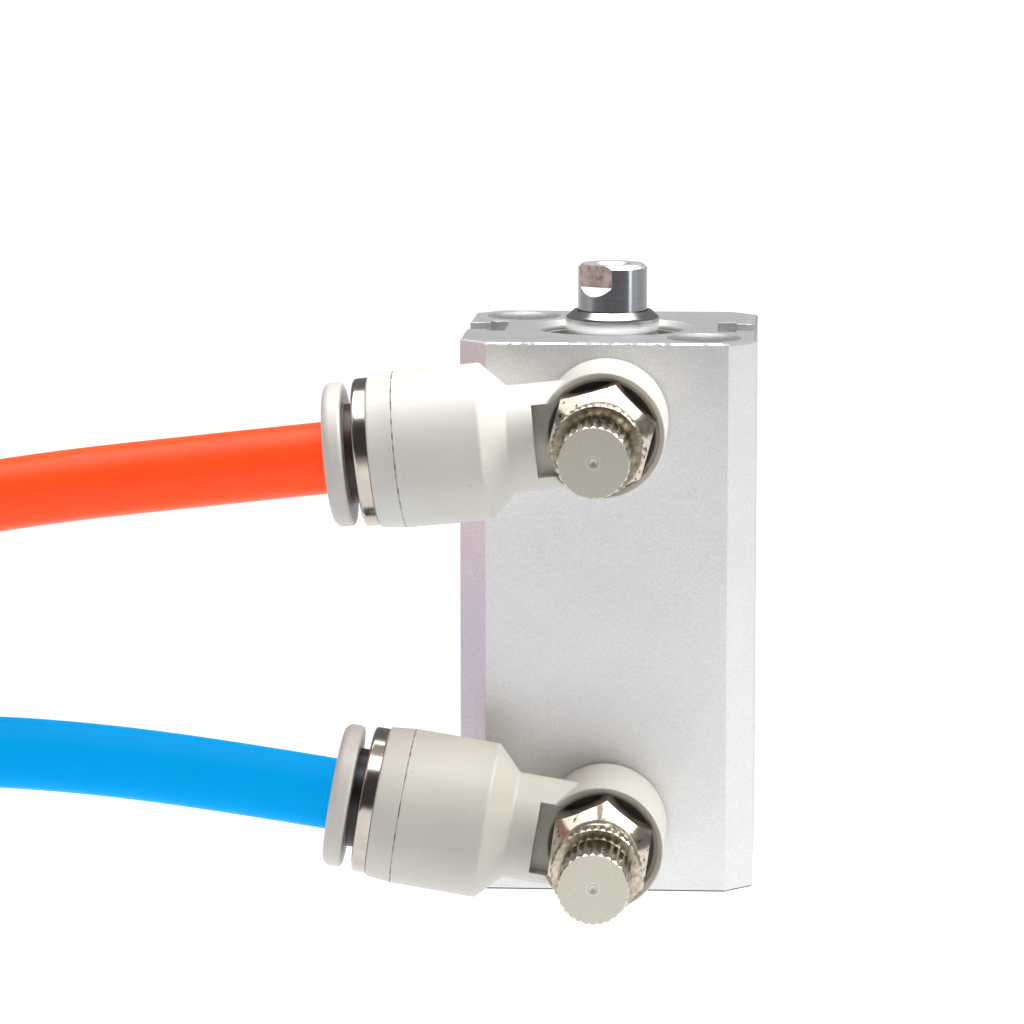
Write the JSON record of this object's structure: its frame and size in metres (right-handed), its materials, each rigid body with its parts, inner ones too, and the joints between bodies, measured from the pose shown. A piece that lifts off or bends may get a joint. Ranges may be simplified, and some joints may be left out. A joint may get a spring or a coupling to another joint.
{
  "type": "compact pneumatic cylinder",
  "caption": "Square compact air cylinder with a round rod, two swivelling flow-control elbow fittings with adjusting knobs, and a coiled lead of tube on each.",
  "frame": {"origin": "centre of the barrel's bottom face, on the rod's axis", "axes": "+Z along the rod, out of the barrel; the ports face -Y and the tubes leave towards -X"},
  "size_m": [0.1405, 0.0823, 0.0525],
  "materials": {
    "anodised_aluminium": "fine bead-blasted and clear anodised",
    "turned_aluminium": "turned and clear anodised",
    "chromed_steel": "ground and hard chrome plated",
    "spring_steel": "plated spring steel",
    "sintered_bronze": "oil-soaked sintered bronze",
    "sintered_magnet": "sintered magnet",
    "nitrile_rubber": "moulded",
    "wear_ring_resin": "machined resin",
    "nickel_plated_brass": "nickel plated, bright",
    "ivory_resin": "moulded, fine matte",
    "white_resin": "moulded, satin",
    "stainless_steel": "pressed, bright",
    "red_polyurethane": "extruded, glossy",
    "blue_polyurethane": "extruded, glossy",
    "black_nylon": "woven band"
  },
  "bodies": {
    "barrel": {"barrel": "anodised_aluminium", "front_cover": "turned_aluminium", "rod_bush": "sintered_bronze", "rod_seal": "nitrile_rubber", "front_cover_oring": "nitrile_rubber", "front_bumper": "nitrile_rubber", "front_circlip": "spring_steel", "rear_cover": "turned_aluminium", "rear_cover_oring": "nitrile_rubber", "rear_bumper": "nitrile_rubber", "rear_circlip": "spring_steel", "red_tube": "red_polyurethane", "red_tube_coil": "red_polyurethane", "blue_tube": "blue_polyurethane", "blue_tube_coil": "blue_polyurethane", "tube_ties": "black_nylon", "upper_screw_body": "nickel_plated_brass", "upper_gasket": "nitrile_rubber", "upper_elbow_orings": "nitrile_rubber", "upper_check_seal": "nitrile_rubber", "lower_screw_body": "nickel_plated_brass", "lower_gasket": "nitrile_rubber", "lower_elbow_orings": "nitrile_rubber", "lower_check_seal": "nitrile_rubber"},
    "piston_rings": {"piston_seal": "nitrile_rubber", "wear_ring": "wear_ring_resin"},
    "rod": {"piston_rod": "chromed_steel", "piston": "turned_aluminium", "magnet": "sintered_magnet", "magnet_retainer": "turned_aluminium", "piston_screw": "spring_steel"},
    "upper_elbow": {"upper_elbow": "ivory_resin", "upper_tube_seal": "nitrile_rubber", "upper_collet": "stainless_steel", "upper_socket_collar": "ivory_resin", "upper_metal_ring": "stainless_steel"},
    "upper_sleeve": {"upper_release_sleeve": "white_resin"},
    "upper_needle_ring": {"upper_needle_oring": "nitrile_rubber"},
    "upper_knob": {"upper_needle": "stainless_steel", "upper_knob": "nickel_plated_brass"},
    "upper_lock_nut": {"upper_lock_nut": "nickel_plated_brass"},
    "lower_elbow": {"lower_elbow": "ivory_resin", "lower_tube_seal": "nitrile_rubber", "lower_collet": "stainless_steel", "lower_socket_collar": "ivory_resin", "lower_metal_ring": "stainless_steel"},
    "lower_sleeve": {"lower_release_sleeve": "white_resin"},
    "lower_needle_ring": {"lower_needle_oring": "nitrile_rubber"},
    "lower_knob": {"lower_needle": "stainless_steel", "lower_knob": "nickel_plated_brass"},
    "lower_lock_nut": {"lower_lock_nut": "nickel_plated_brass"}
  },
  "joints": [
    {"name": "rod_slide", "type": "slide", "parent": "barrel", "child": "piston_rings", "axis": [0, 0, 1], "range_m": [0, 0.03]},
    {"name": "rod_turn", "type": "hinge", "parent": "piston_rings", "child": "rod", "pos_m": [0, 0, 0.0115], "axis": [0, 0, 1], "continuous": true},
    {"name": "upper_swivel", "type": "hinge", "parent": "barrel", "child": "upper_elbow", "pos_m": [0, -0.0195, 0.04055], "axis": [0, 1, 0], "range_deg": [-5, 20], "deforming": ["red_tube"]},
    {"name": "upper_sleeve_push", "type": "slide", "parent": "upper_elbow", "child": "upper_sleeve", "axis": [0.9951, 0, 0.0993], "range_m": [0, 0.0008], "stiffness_N_per_m": 2000},
    {"name": "upper_knob_travel", "type": "slide", "parent": "barrel", "child": "upper_needle_ring", "axis": [0, -1, 0], "range_m": [-0.0015, 0.0025]},
    {"name": "upper_knob_turn", "type": "hinge", "parent": "upper_needle_ring", "child": "upper_knob", "pos_m": [0, -0.035, 0.04055], "axis": [0, -1, 0], "range_deg": [-1080, 1800]},
    {"name": "upper_lock_nut_turn", "type": "hinge", "parent": "barrel", "child": "upper_lock_nut", "pos_m": [0, -0.0306, 0.04055], "axis": [0, -1, 0], "range_deg": [0, 180]},
    {"name": "lower_swivel", "type": "hinge", "parent": "barrel", "child": "lower_elbow", "pos_m": [0, -0.0195, 0.00595], "axis": [0, 1, 0], "range_deg": [0, 15], "deforming": ["blue_tube"]},
    {"name": "lower_sleeve_push", "type": "slide", "parent": "lower_elbow", "child": "lower_sleeve", "axis": [0.9864, 0, -0.1642], "range_m": [0, 0.0008], "stiffness_N_per_m": 2000},
    {"name": "lower_knob_travel", "type": "slide", "parent": "barrel", "child": "lower_needle_ring", "axis": [0, -1, 0], "range_m": [0, 0.004]},
    {"name": "lower_knob_turn", "type": "hinge", "parent": "lower_needle_ring", "child": "lower_knob", "pos_m": [0, -0.035, 0.00595], "axis": [0, -1, 0], "range_deg": [0, 2880]},
    {"name": "lower_lock_nut_turn", "type": "hinge", "parent": "barrel", "child": "lower_lock_nut", "pos_m": [0, -0.0306, 0.00595], "axis": [0, -1, 0], "range_deg": [0, 180]}
  ],
  "couplings": [
    {"joint": "upper_knob_turn", "follows": "upper_knob_travel", "rad_per_m": 12566},
    {"joint": "lower_knob_turn", "follows": "lower_knob_travel", "rad_per_m": 12566}
  ]
}
